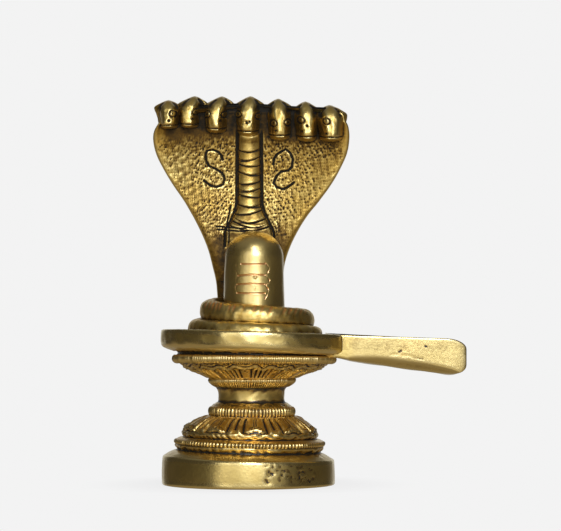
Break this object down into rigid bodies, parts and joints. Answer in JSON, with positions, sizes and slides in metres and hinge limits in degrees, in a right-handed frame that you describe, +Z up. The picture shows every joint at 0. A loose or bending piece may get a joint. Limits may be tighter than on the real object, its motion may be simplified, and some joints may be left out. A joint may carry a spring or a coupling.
{
  "type": "shiva lingam",
  "caption": "Small cast brass shiva lingam: domed shaft in a spouted basin on a lotus pedestal, with a many-headed cobra coiled round it and its hood spread behind.",
  "frame": {"origin": "centre of the foot's underside, on the surface that the object stands on", "axes": "+Z up, -Y towards the front that the cobra's heads face, +X along the spout"},
  "size_m": [0.0801, 0.0478, 0.0997],
  "materials": {
    "pedestal_brass": "hand-polished cast brass with dark patina in the carving",
    "lingam_brass": "smooth polished brass with engraved lines",
    "naga_brass": "punched and engraved brass with black patina in the recesses"
  },
  "bodies": {
    "root": {"yoni_pedestal": "pedestal_brass", "lingam": "lingam_brass", "naga": "naga_brass"}
  },
  "joints": []
}
